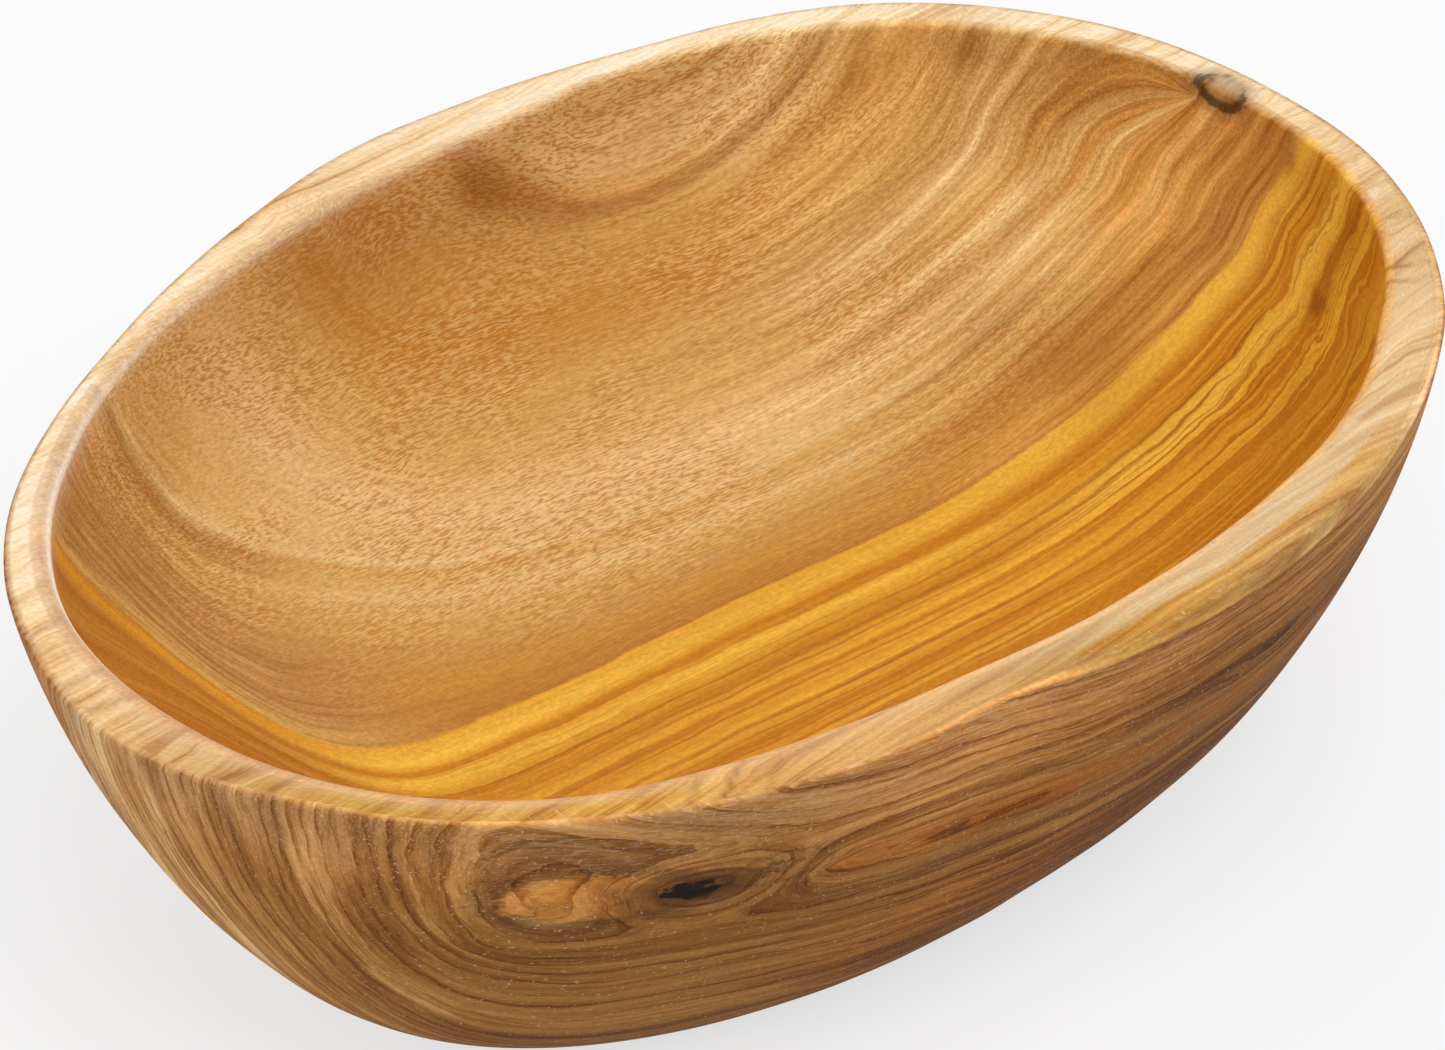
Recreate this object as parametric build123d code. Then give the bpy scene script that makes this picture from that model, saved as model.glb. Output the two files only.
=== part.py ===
from build123d import *
import os
from math import cos, pi, sin

# Oval bowl carved from a single block of wood.
#
# The underside stands on Z = 0, X runs along the bowl and the origin is the middle of the rim's outline.
# The outside and the hollow are each lofted through level outlines, so each has its own length, width
# and curve, and the wall between them grows thicker towards the floor as a carved wall does.

# Rim, millimetres
rim_length = 220.0  # over the outside, end to end
rim_width = 162.0  # over the outside, side to side
rim_height = 67.0  # from the table to the sawn top face
end_wall = 6.6  # width of the rim at its two ends
side_wall = 7.9  # width of the rim along its two sides
widest_drift = 7.5  # how far towards +X of the middle the rim is at its widest

# Underside
foot_length = 142.0
foot_width = 86.0
foot_drift = 2.5  # how far towards -Y of the rim's middle the foot sits

# Hollow
floor_thickness = 10.0  # wood left under the middle of the hollow
hollow_drift_x = 0.4  # the hollow is carved a little off centre
hollow_drift_y = 1.2
level_share = 0.08  # share of the hollow's size that the gouge leaves level in the middle

# Edges of the sawn face, eased by hand
outer_bevel = 0.7
inner_bevel = 1.2

# Powers of the curves, which have no unit
outline_power = 2.19  # 2 is an ellipse, and more fills out its corners
outer_lean_power = 1.3  # 1 is a straight slope under the rim, and more stands it upright first
outer_turn_power = 1.65  # 1 is a sharp edge at the foot, and more rolls under it
hollow_lean_power = 2.1
hollow_turn_power = 2.3

outline_points = 16
wall_sections = 20


def outline(half_length, half_width, height, drift_x, drift_y):
    """A level face inside an egg: a superellipse whose sides are pushed towards +X, while its ends stay."""
    points = []
    for i in range(outline_points):
        angle = 2 * pi * i / outline_points
        along = abs(cos(angle) / half_length) ** outline_power
        across = abs(sin(angle) / half_width) ** outline_power
        radius = (along + across) ** (-1 / outline_power)
        y = radius * sin(angle)
        x = radius * cos(angle) + widest_drift * half_length / (rim_length / 2) * (y / half_width) ** 2
        points.append((drift_x + x, drift_y + y, height))
    return Face(Wire(Spline(*points, periodic=True)))


def depths(deepest):
    """Shares of the full depth at which a wall has its outlines, closer together where it turns under."""
    return [deepest * sin(pi / 2 * i / (wall_sections - 1)) for i in range(wall_sections)]


def reach(depth, lean_power, turn_power):
    """How far out a wall still is, from 1 at the rim to 0 at full depth, for a depth from 0 to 1."""
    return (1 - depth**lean_power) ** (1 / turn_power)


def outside():
    """The bowl as a solid block with its finished outer shape."""
    sections = []
    for depth in depths(1):
        share = reach(depth, outer_lean_power, outer_turn_power)
        half_length = (foot_length + (rim_length - foot_length) * share) / 2
        half_width = (foot_width + (rim_width - foot_width) * share) / 2
        sections.append(outline(half_length, half_width, rim_height * (1 - depth), 0, -foot_drift * depth))
    return loft(sections, ruled=True)


def hollow():
    """The space that the gouge clears, from the sawn face down to the floor."""
    sections = []
    deepest = (1 - level_share**hollow_turn_power) ** (1 / hollow_lean_power)
    for depth in depths(deepest):
        share = reach(depth, hollow_lean_power, hollow_turn_power)
        half_length = (rim_length / 2 - end_wall) * share
        half_width = (rim_width / 2 - side_wall) * share
        height = rim_height - (rim_height - floor_thickness) * depth
        sections.append(outline(half_length, half_width, height, hollow_drift_x, hollow_drift_y))
    return loft(sections, ruled=True)


def sawn_face(body):
    """The flat top of the rim."""
    return body.faces().filter_by(Plane.XY).sort_by(Axis.Z)[-1]


def bowl():
    """The hollowed block with both edges of its rim eased."""
    body = outside() - hollow()
    body = chamfer(sawn_face(body).inner_wires().edges(), inner_bevel)
    return chamfer(sawn_face(body).outer_wire().edges(), outer_bevel)


os.makedirs("parts", exist_ok=True)
export_step(bowl(), "parts/bowl.step")
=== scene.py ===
import math
import bpy
import numpy as np
from mathutils import Matrix, Vector


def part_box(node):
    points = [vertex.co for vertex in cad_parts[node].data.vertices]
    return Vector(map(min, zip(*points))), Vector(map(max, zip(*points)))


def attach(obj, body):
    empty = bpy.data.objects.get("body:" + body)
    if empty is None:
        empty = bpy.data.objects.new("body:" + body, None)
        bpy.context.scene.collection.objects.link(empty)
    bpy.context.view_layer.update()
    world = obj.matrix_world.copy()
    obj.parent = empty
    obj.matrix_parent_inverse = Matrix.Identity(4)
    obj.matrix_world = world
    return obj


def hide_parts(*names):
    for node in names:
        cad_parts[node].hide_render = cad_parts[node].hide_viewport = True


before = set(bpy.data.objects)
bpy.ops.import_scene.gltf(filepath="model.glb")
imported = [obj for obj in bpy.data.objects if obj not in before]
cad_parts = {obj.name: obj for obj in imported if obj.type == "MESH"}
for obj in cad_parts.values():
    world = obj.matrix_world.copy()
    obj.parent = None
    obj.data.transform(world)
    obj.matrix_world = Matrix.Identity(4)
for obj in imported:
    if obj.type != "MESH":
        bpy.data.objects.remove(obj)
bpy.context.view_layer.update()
nodeLow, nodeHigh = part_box("bowl")
scene = bpy.context.scene
mm = 0.001

bowl = {
    "halfLength": (nodeHigh.x - nodeLow.x) / 2,
    "halfWidth": (nodeHigh.y - nodeLow.y) / 2,
    "height": nodeHigh.z,
    "endWall": 6.6 * mm,  # width of the rim at its ends, and then along its sides
    "sideWall": 7.9 * mm,
    "widestDrift": 7.5 * mm,  # how far towards +X the rim is at its widest
    "footHalfLength": 71 * mm,
    "footHalfWidth": 43 * mm,
    "footDrift": -2.5 * mm,
    "footMiddleX": 2.25 * mm,
    "floorThickness": 10 * mm,
    "hollowDrift": (0.4 * mm, 1.2 * mm),
    "outlinePower": 2.19,  # 2 is an ellipse, and more fills out its corners
    "outerPowers": (1.3, 1.65),  # how upright the wall starts, and how far it rolls under
    "hollowPowers": (2.1, 2.3),
    "innerRound": (1.1 * mm, 2.2 * mm, 185, 60),  # its least, what is added, about this azimuth, its spread
    "outerRound": 0.8 * mm,
    # high and low spots that the gouge left round the rim: azimuth, spread in degrees, millimetres outwards
    "outerSpots": [(97, 14, 2.2), (57, 15, -1.5), (135, 13, -1.6), (181, 9, 1.5), (197, 6, -0.8),
                   (229, 10, 0.7), (250, 7, -1.6), (292, 18, 0.6), (352, 13, 0.6), (28, 10, -0.6)],
    "innerSpots": [(0, 13, 0.6), (28, 12, -0.8), (78, 17, -1.5), (139, 21, 1.4), (181, 16, -1.7),
                   (214, 12, 1.7), (67, 3, 0.5), (250, 14, -1.0), (324, 7, -1.0), (349, 10, 0.5)],
    "spotFade": 1.5,  # the power by which they fade down the walls
    # slow waves: millimetres outwards, how many round the bowl, radians for each metre upwards, their start
    "waves": [(0.16, 5, 30, 1.1), (0.12, 8, -55, 0.4), (0.05, 17, 90, 0.0), (0.035, 29, -140, 2.0)],
    "outerWaveTurn": 0.7,  # radians from the hollow's waves to the outside's
    "outerWaveStart": 12 * mm,  # how far up the outside they reach their full depth
    "rimWaves": (3, 10 * mm),  # on the sawn face they stand this much closer, and take this for their height
    "pointsRound": 704,
    "rings": {"hollow": 62, "innerEdge": 6, "rim": 10, "outerEdge": 5, "wall": 46, "foot": 8},
}


# Smooth step: 3t^2 - 2t^3, with t held between 0 and 1.
def ramp(value):
    t = np.clip(value, 0, 1)
    return t * t * (3 - 2 * t)


# A smooth step that starts at a value and takes a length.
def rise(value, start, length):
    return ramp((value - start) / length)


# A window: it rises to 1 from its start and falls back to 0 at its end, over a length each.
def window(value, start, riseLength, end, fallLength):
    return ramp((value - start) / riseLength) * ramp((end - value) / fallLength)


# Bell curve: e to the power -t^2.
def bell(value):
    return np.exp(-value * value)


# Logistic curve: 1 / (1 + e^-t).
def logistic(value):
    return 1 / (1 + np.exp(-value))


# Sum of bells round the bowl, each amount * bell((azimuth - middle) / spread), in degrees.
def roundBowl(degrees, spots):
    total = np.zeros_like(degrees)
    for middle, spread, amount in spots:
        away = (degrees - middle + 180) % 360 - 180
        total += amount * bell(away / spread)
    return total


# The rounding of the rim's inner edge: least + extra * bell((azimuth - middle) / spread).
def innerRounding(degrees):
    least, extra, middle, spread = bowl["innerRound"]
    return least + extra * bell((degrees - middle) / spread)


# An egg: radius = (|cos a / L|^n + |sin a / W|^n)^(-1/n), and x is pushed by drift * (y / W)^2.
def eggOutline(angle, halfLength, halfWidth):
    power = bowl["outlinePower"]
    along = np.abs(np.cos(angle) / halfLength) ** power
    across = np.abs(np.sin(angle) / halfWidth) ** power
    radius = (along + across) ** (-1 / power)
    y = radius * np.sin(angle)
    x = radius * np.cos(angle) + bowl["widestDrift"] * halfLength / bowl["halfLength"] * (y / halfWidth) ** 2
    return x, y


# A wall's curve: share = sin(turn)^(2/turnPower) outwards and depth = cos(turn)^(2/leanPower) downwards.
def wallCurve(turn, powers):
    return np.sin(turn) ** (2 / powers[1]), np.cos(turn) ** (2 / powers[0])


# Slow hand-tool waves: the sum of deep * sin(count * azimuth + slope * height + start), outwards.
def toolWaves(angle, height):
    return sum(deep * np.sin(count * angle + slope * height + start)
               for deep, count, slope, start in bowl["waves"]) * mm


# The hollow: turn is 0 in the middle of the floor and pi/2 at the rim. Each level of the wall's curve is an
# egg, pushed outwards by the spots, which fade with depth, and by the waves.
def hollowSurface(angle, turn):
    share, depth = wallCurve(turn, bowl["hollowPowers"])
    halfLength = (bowl["halfLength"] - bowl["endWall"]) * share
    halfWidth = (bowl["halfWidth"] - bowl["sideWall"]) * share
    x, y = eggOutline(angle, halfLength, halfWidth)
    z = bowl["height"] - (bowl["height"] - bowl["floorThickness"]) * depth
    spots = roundBowl(np.degrees(angle), bowl["innerSpots"]) * mm * (1 - depth) ** bowl["spotFade"]
    out = spots + toolWaves(angle, z) * share
    driftX, driftY = bowl["hollowDrift"]
    x, y, z = np.broadcast_arrays(x + driftX + out * np.cos(angle), y + driftY + out * np.sin(angle), z)
    return np.stack([x, y, z], -1)


# The outside, in the same way: turn is pi/2 at the rim and 0 at the edge of the foot.
def outerSurface(angle, turn):
    share, depth = wallCurve(turn, bowl["outerPowers"])
    halfLength = bowl["footHalfLength"] + (bowl["halfLength"] - bowl["footHalfLength"]) * share
    halfWidth = bowl["footHalfWidth"] + (bowl["halfWidth"] - bowl["footHalfWidth"]) * share
    x, y = eggOutline(angle, halfLength, halfWidth)
    z = bowl["height"] * (1 - depth)
    spots = roundBowl(np.degrees(angle), bowl["outerSpots"]) * mm * (1 - depth) ** bowl["spotFade"]
    out = spots + toolWaves(angle + bowl["outerWaveTurn"], z) * ramp(z / bowl["outerWaveStart"])
    y = y + bowl["footDrift"] * depth
    x, y, z = np.broadcast_arrays(x + out * np.cos(angle), y + out * np.sin(angle), z)
    return np.stack([x, y, z], -1)


# The whole skin as a grid of points, rings by points round: up the hollow, a quarter turn over the inner
# edge, straight across the sawn face, a quarter turn over the outer edge, down the wall and under the foot.
# With it come, for each ring, 0 inside to 1 outside and whether it is on the sawn face, then the ring where
# the inside and the outside meet, and the foot's middle.
def bowlGrid():
    angle = np.linspace(0, 2 * np.pi, bowl["pointsRound"], endpoint=False)[None, :]
    rings = bowl["rings"]
    height = bowl["height"]

    def column(values):  # one value for each ring
        return np.asarray(values, float)[:, None]

    innerRound = innerRounding(np.degrees(angle))
    lastTurn = np.arccos((innerRound / (height - bowl["floorThickness"])) ** (bowl["hollowPowers"][0] / 2))
    hollow = hollowSurface(angle, column(np.linspace(0, 1, rings["hollow"] + 1)[1:]) * lastTurn)

    firstTurn = math.acos((bowl["outerRound"] / height) ** (bowl["outerPowers"][0] / 2))
    wall = outerSurface(angle, column(np.linspace(firstTurn, 0, rings["wall"])))

    inner = hollow[-1:] * [1, 1, 0] + [0, 0, height]  # where the two walls would meet the sawn face
    outer = wall[:1] * [1, 1, 0] + [0, 0, height]
    across = outer - inner
    across /= np.linalg.norm(across, axis=-1, keepdims=True)
    up = np.array([0, 0, 1.0])

    quarter = column(np.linspace(0, np.pi / 2, rings["innerEdge"] + 1)[1:])[..., None]
    innerEdge = inner + innerRound[..., None] * ((1 - np.cos(quarter)) * across - (1 - np.sin(quarter)) * up)
    quarter = column(np.linspace(np.pi / 2, 0, rings["outerEdge"] + 1)[:-1])[..., None]
    outerEdge = outer - bowl["outerRound"] * ((1 - np.cos(quarter)) * across + (1 - np.sin(quarter)) * up)
    share = column(np.linspace(0, 1, rings["rim"] + 2)[1:-1])
    rim = innerEdge[-1:] * (1 - share[..., None]) + outerEdge[:1] * share[..., None]
    closer, deep = bowl["rimWaves"]
    rim[..., 2] += toolWaves(angle * closer, share * deep) * np.sin(np.pi * share)

    shrink = column(np.linspace(1, 0, rings["foot"] + 1)[1:-1])[..., None]
    footMiddle = np.array([bowl["footMiddleX"], bowl["footDrift"], 0])
    foot = footMiddle + (wall[-1:] - footMiddle) * shrink

    grid = np.concatenate([hollow, innerEdge, rim, outerEdge, wall, foot])
    grid[-len(foot) - 1:, :, 2] = 0  # the foot is sanded flat
    insideCount = len(hollow) + len(innerEdge)
    outside = np.ones(len(grid))
    outside[:insideCount] = 0
    outside[insideCount:insideCount + len(rim)] = share[:, 0]
    sawn = np.zeros(len(grid), bool)
    sawn[insideCount - 1:insideCount + len(rim) + 1] = True
    return grid, outside, sawn, insideCount + len(rim) // 2, footMiddle


wood = {
    "tilt": (0.3, 12),  # how far the growth rings lean along Y for each step of Z, and about which height
    "seamStart": 12,  # millimetres: where the heartwood ends along Y, halfway along the bowl
    "seamFall": (7.5, 40, 35),  # it falls by this to each side, about this X, over this length
    "fold": (40, -65.4, 5.6),  # near the knot the rings fold over by this, at this X, over this length
    "endCurl": (0.03, 92),  # the rings curl away beyond this X
    "heartSpread": (0.75, 1.0, -52, 28),  # rings in the heartwood stand wider apart about this X
    # where the rings bend: X and its length, ring and its width, how many rings
    "bends": [(-46, 18, 25, 10, 5), (-5, 14, 30, 10, -3)],
    # rings above this one run together into the rim's knot, within this reach of it, and lean towards it
    "fan": {"at": (103.5, 8.9, 65), "ring": 27, "reach": 18, "least": 1.5, "power": 3,
            "lean": 4.5, "leanUp": (44, 10), "leanAlong": (80, 15)},
    # high on the far wall the rings hang down by this much, about this X, over these lengths to each side
    "hang": {"depth": 12, "middle": 42, "lengths": (33, 53), "fromRing": 76, "overRings": 12},
    "fineFollows": 0.35,  # the share of the hang and the fan that the finest grain follows
    # the dark streak there: its ring, its widths towards -X and +X, where they change, how dark, its ends
    "streak": {"ring": 87.3, "widths": (3.4, 1.1), "change": (22, 20), "amount": 0.85, "ends": (8, 8, 82, 8)},
    # the near side of the wall cuts through a second heart, so its rings are an onion lying on its side: its
    # middle falls by millimetres for each degree, and above the middle the rings are squashed at its -X end
    "onion": {"azimuth": 218, "height": 50, "fall": 0.2, "fallFrom": 223, "fallOver": 52, "closing": 0.065,
              "heart": -98, "ring": 0.55, "squash": 0.45, "squashFrom": 205, "squashOver": 30},
    "nearWall": (170, 16, 346, 34),  # degrees over which the onion's rings come in and go out
    "eyes": [(223, 50.3, 7, 5.2, 12), (290, 44, 10, 3, 2.0)],  # azimuth, height, their spreads, rings added
    # middle and size along X, Y and Z in millimetres, here of the knots and of the swirl beside the wall's
    "wallKnot": ((-63.9, -62.3, 50.3), (6.0, 7.5, 2.5)),
    "swirl": ((-53.5, -67.6, 51.2), (6.5, 6.0, 2.6)),
    "rimKnot": ((104.2, 4.8, 66.6), (2.9, 4.5, 2.9)),
    "rimKnotInside": ((104.9, 4.7, 67.6), (3.1, 4.0, 3.0)),
    "patch": ((-75, -55, 51.4), (15.0, 11.0, 5.4)),  # the orange place left of the wall's knot
    # darker places: middle and size, how dark
    "stains": [((82.5, 5.9, 29.7), (9, 9, 9), 0.45), ((-7, 73, 57), (19, 12, 9), 0.3),
               ((90, 43.5, 63), (9, 5, 4), 0.6), ((-60, 58, 52), (9, 7, 10), 0.25),
               ((94.6, -25, 47.6), (1.3, 2.2, 1.6), 1.5), ((16, 73, 56), (9, 7, 7), 0.3),
               ((102.8, -10.4, 61.8), (1.5, 1.0, 2.0), 1.2), ((30, 76, 62), (16, 6, 3), 0.2),
               ((76, 16, 28), (6, 20, 8), 0.35),
               ((98, -27.5, 60), (5, 3, 3.5), 0.65), ((96, -25, 52), (4, 2.5, 5), 0.5),
               ((101.5, -14, 61), (4, 5, 4), 0.45), ((86, -29.5, 38), (9, 2.5, 5), 0.4)],
    # where the rim is golden, not pale wheat: azimuth, spread, amount
    "golden": [(208, 26, 1.1), (252, 24, 0.68), (295, 30, 0.42), (340, 24, 0.45), (105, 22, 0.35),
               (172, 14, 0.35)],
    # lines across the rim, from one point to another in millimetres: half width, how dark
    "rimLines": [((-54.7, -62.5), (-62.6, -67.2), 0.5, 0.8), ((-60.6, -61.0), (-65.6, -64.4), 0.6, 0.55),
                 ((-50.6, -65.9), (-56.0, -68.8), 0.7, 0.4), ((-65.8, -57.7), (-69.8, -60.0), 1.1, 0.4),
                 ((-103.5, 10.5), (-111.0, 10.5), 1.0, 0.5), ((-103.5, 3.0), (-111.5, 4.8), 0.7, 0.6),
                 ((-101.5, -7.4), (-111.0, -7.8), 1.0, 0.55), ((-99.0, -21.4), (-108.5, -18.0), 0.9, 0.65),
                 ((-99.0, 22.6), (-107.5, 21.8), 0.6, 0.5), ((-87.0, -40.0), (-93.5, -44.5), 1.2, 0.4),
                 ((104.9, 7.8), (110.6, 4.6), 0.25, 1.0), ((105.8, 1.6), (109.4, 0.2), 0.3, 0.5),
                 ((86, -43.3), (96, -49), 0.35, 0.75), ((84, -45.6), (92.5, -51.3), 0.35, 0.6),
                 ((94.6, -33.9), (104, -39.3), 1.0, 0.3), ((98.5, -27), (109, -31), 0.8, 0.3),
                 ((59, -66.4), (72, -66.6), 1.1, 0.4), ((50, -69), (62, -71.5), 1.4, 0.25)],
    "rimLineDark": 1.4,  # how dark they are all together
    "rimLineDrop": 0.4,  # how far they run down over the edges: less is farther
    "rimFade": 3.0,  # millimetres over which the wall's colour gives way to the rim's
    "rimRunsDown": (284, 20, 4.0),  # where the rim's colour goes down the wall: azimuth, spread, millimetres
    "runEdge": 0.5,  # millimetres that it has to go down further than a point lies from the edge
    "outerFade": 2.5,  # how much sharper the rim's colour ends on the outside
    # the colour that runs down is more golden: from this share of the rim outwards, over this reach, by this
    "runGolden": (0.6, 2, 0.4),
    # a painted highlight along the inner edge: a thin pale line of painted light, with a faint halo of it on
    # the wall: azimuth, spread, amount
    "edgeHighlight": [(160, 22, 0.95), (200, 24, 0.75), (246, 36, 0.6), (120, 40, 0.3)],
    "edgeDepth": 0.6,  # how far down the rounding it lies
    "edgeWidths": (0.75, 3.6),  # millimetres, of the line and of the halo
    # where the outside changes from the -X half's brown bands to the +X half's straight lines, in degrees
    "eastern": (222, 26),
}

# How light the wood is, where 1 is as its colours are written; partly the wood's own tone and partly painted
# shade, which darkens the walls towards the foot, most of all low on the near wall's +X half, and the rim on
# its near side.
# A wall has a start at the foot and steps upwards: from this many millimetres up, over this many, and by how
# much.
lightnessAndShade = {
    "inside": 1.0,
    "underside": 0.8,
    "farWall": (0.8, [(10, 50, 0.25)]),
    "nearLeft": (0.82, [(4, 16, 0.14), (44, 14, 0.1)]),
    "nearRight": (0.36, [(3, 23, 0.58), (40, 22, 0.6)]),
    "nearSide": (165, 15, 345, 20),  # degrees over which the near wall's values come in and go out
    "leftCorner": (208, 11, 44, 14, 0.34),  # about this azimuth: its spread, a step upwards as above
    "rightCorner": (258, 22, 10, 14, -0.2),  # beyond this azimuth: over how much, a step upwards
    # places on the +X half: azimuth and spread, height and spread, how much
    "rightPlaces": [(246, 16, 27, 6, 0.32), (246, 16, 38, 4, -0.2)],
    "rim": 0.93,
    # the rim darker on its near side, as painted shade: azimuth, spread, how much
    "rimShade": [(198, 16, 0.26), (222, 18, 0.08), (256, 13, 0.26), (288, 26, 0.2), (336, 14, 0.16)],
    "runDown": (-0.1, 3),  # the rim's colour that runs down the wall: how much, over how many millimetres
}


# How many millimetres one growth ring step takes inside: low + extra * bell((x - middle) / length).
def ringSpread(x):
    low, extra, middle, length = wood["heartSpread"]
    return low + extra * bell((x - middle) / length)


# Growth rings inside: ring = (y + tilt (z - middle) - seam(x)) / spread(x), 0 at the end of the heartwood.
# High on the far wall they hang in a valley, and near the rim's knot they are drawn together by
# (1 + (reach / r)^3)^(1/3). The second result is the straight grain in millimetres: the same without the
# fold, the curl, the spread and the bends, plus a share of the hang and the fan.
def innerRings(x, y, z):
    tilt, tiltMiddle = wood["tilt"]
    fall, middleX, length = wood["seamFall"]
    foldBy, foldX, foldLength = wood["fold"]
    curl, curlX = wood["endCurl"]
    straight = y + tilt * (z - tiltMiddle) - wood["seamStart"] + fall * np.tanh((x - middleX) / length)
    plain = straight - foldBy * logistic((foldX - x) / foldLength) + curl * np.maximum(x - curlX, 0) ** 2
    ring = np.where(plain > 0, plain / ringSpread(x), plain)
    ring += sum(amount * bell((x - bendX) / length) * bell((ring - bendRing) / width)
                for bendX, length, bendRing, width, amount in wood["bends"])
    regular = ring.copy()
    hang, fan = wood["hang"], wood["fan"]
    aside = x - hang["middle"]
    valley = hang["depth"] * (1 - bell(aside / np.where(aside < 0, *hang["lengths"])))
    ring -= valley * rise(ring, hang["fromRing"], hang["overRings"])
    ring -= fan["lean"] * rise(z, *fan["leanUp"]) * rise(x, *fan["leanAlong"])
    knotX, knotY, knotZ = fan["at"]
    away = np.maximum(np.sqrt((x - knotX) ** 2 + (y - knotY) ** 2 + (z - knotZ) ** 2), fan["least"])
    gather = (1 + (fan["reach"] / away) ** fan["power"]) ** (1 / fan["power"])
    ring = np.where(ring > fan["ring"], fan["ring"] + (ring - fan["ring"]) * gather, ring)
    return ring, straight + wood["fineFollows"] * (ring - regular)


# Rings on the near wall: ring = heart + step * sqrt((closing (a0 - a)^2)^2 + (squash (z - middle))^2), a for
# the azimuth. The middle falls towards +X, and eyes are bells that are added about a point.
def onionRings(degrees, z):
    onion = wood["onion"]
    middle = onion["height"] - onion["fall"] * np.clip(degrees - onion["fallFrom"], 0, onion["fallOver"])
    along = onion["closing"] * np.maximum(onion["azimuth"] - degrees, 0) ** 2
    opened = rise(degrees, onion["squashFrom"], onion["squashOver"])
    squash = np.where(z > middle, onion["squash"] + (1 - onion["squash"]) * opened, 1)
    ring = onion["heart"] + onion["ring"] * np.hypot(along, squash * (z - middle))
    for azimuth, height, wide, tall, amount in wood["eyes"]:
        ring += amount * bell(np.hypot((degrees - azimuth) / wide, (z - height) / tall))
    return ring


# The two fields, blended over the rim and at both ends of the near wall, in rings and in millimetres.
def growthRings(points, degrees, outside):
    x, y, z = points[..., 0] / mm, points[..., 1] / mm, points[..., 2] / mm
    blend = window(degrees, *wood["nearWall"]) * outside
    (inner, straight), near = innerRings(x, y, z), onionRings(degrees, z)
    return inner * (1 - blend) + near * blend, straight * (1 - blend) + near / wood["onion"]["ring"] * blend


# The hanging streak's darkness: a bell of its distance in rings, wide at its -X end and thin at the other.
def hangingStreak(x, ring):
    streak = wood["streak"]
    left, right = streak["widths"]
    width = left + (right - left) * rise(x, *streak["change"])
    return streak["amount"] * bell((ring - streak["ring"]) / width) * window(x, *streak["ends"])


# Distance from a middle in millimetres, along X, Y and Z, each divided by its size: 1 is at the size's end.
def distanceFrom(points, middle, size):
    away = (points / mm - np.array(middle)) / np.array(size)
    return np.sqrt((away ** 2).sum(-1))


# Distance in millimetres from a line on the sawn face: |p - a - t (b - a)|, with t held between 0 and 1, and
# a share of the depth below the face.
def lineDistance(points, start, end):
    start, way = np.array(start), np.array(end) - np.array(start)
    away = points[..., :2] / mm - start
    t = np.clip((away * way).sum(-1) / (way * way).sum(), 0, 1)
    drop = (bowl["height"] - points[..., 2]) / mm * wood["rimLineDrop"]
    return np.hypot(np.linalg.norm(away - t[..., None] * way, axis=-1), drop)


# 1 on the near wall's +X half, and 0 on its -X half: a smooth step by azimuth.
def easternShare(degrees):
    return rise(degrees, *wood["eastern"])


# How far down the wall the rim's colour goes, in millimetres: amount * bell((azimuth - middle) / spread).
def rimReach(degrees):
    middle, spread, amount = wood["rimRunsDown"]
    return amount * bell((degrees - middle) / spread)


# How light the wood is, with painted shade: the walls' steps upwards, so darker towards the foot, blended
# round the bowl, and less on the rim, most of all on its near side, where shade is painted.
def woodToneAndShade(points, degrees, outside):
    z = points[..., 2] / mm

    def upwards(name):  # start + the sum of amount * rise(z)
        start, steps = lightnessAndShade[name]
        return start + sum(amount * rise(z, low, length) for low, length, amount in steps)

    middle, spread, low, length, amount = lightnessAndShade["leftCorner"]
    nearLeft = upwards("nearLeft") + amount * bell((degrees - middle) / spread) * rise(z, low, length)
    start, over, low, length, amount = lightnessAndShade["rightCorner"]
    nearRight = upwards("nearRight") + amount * rise(degrees, start, over) * rise(z, low, length)
    nearRight += sum(amount * bell((degrees - middle) / spread) * bell((z - height) / tall)
                     for middle, spread, height, tall, amount in lightnessAndShade["rightPlaces"])
    near = nearLeft + (nearRight - nearLeft) * easternShare(degrees)
    far = upwards("farWall")
    wall = far + (near - far) * window(degrees, *lightnessAndShade["nearSide"])
    wall = np.where(z > 0, wall, lightnessAndShade["underside"])
    rim = lightnessAndShade["rim"] - sum(amount * bell((degrees - middle) / spread)
                                 for middle, spread, amount in lightnessAndShade["rimShade"])
    reach = rimReach(degrees)
    darker, fade = lightnessAndShade["runDown"]
    wall += (rim + darker - wall) * ramp((z - bowl["height"] / mm + reach) / fade + 0.5) * ramp(reach)
    return np.where((outside > 0) & (outside < 1), rim, np.where(outside < 0.5, lightnessAndShade["inside"], wall))


# How much of the rim's colour shows: half of it at its edges, and all or none a fade further in or out.
# Where the colour runs down the wall, the distance is counted from the end of the run.
def rimShareAt(points, degrees, outside, sawn):
    fromEdge = np.minimum(outside, 1 - outside) * bowl["endWall"] / mm
    below = (bowl["height"] - points[..., 2]) / mm
    reach = rimReach(degrees)
    inward = np.where(outside > 0.5, wood["outerFade"] * (reach - below), -below)
    inward = np.where(sawn, fromEdge, inward)
    running = (outside > 0.5) & (reach > fromEdge + wood["runEdge"])
    inward = np.where(running, np.maximum(inward, reach - below), inward)
    return 0.5 + 0.5 * np.clip(inward / wood["rimFade"], -1, 1)


# How dark the marks are: bells about the stains, the hanging streak inside, and bells along the rim's lines.
def darkMarks(points, ring, outside):
    stain = sum(amount * bell(distanceFrom(points, middle, size)) for middle, size, amount in wood["stains"])
    stain += hangingStreak(points[..., 0] / mm, ring) * (outside == 0)
    lines = sum(wood["rimLineDark"] * amount * bell(lineDistance(points, start, end) / width)
                for start, end, width, amount in wood["rimLines"])
    return np.maximum(stain, lines) * (outside < 1)


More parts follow.
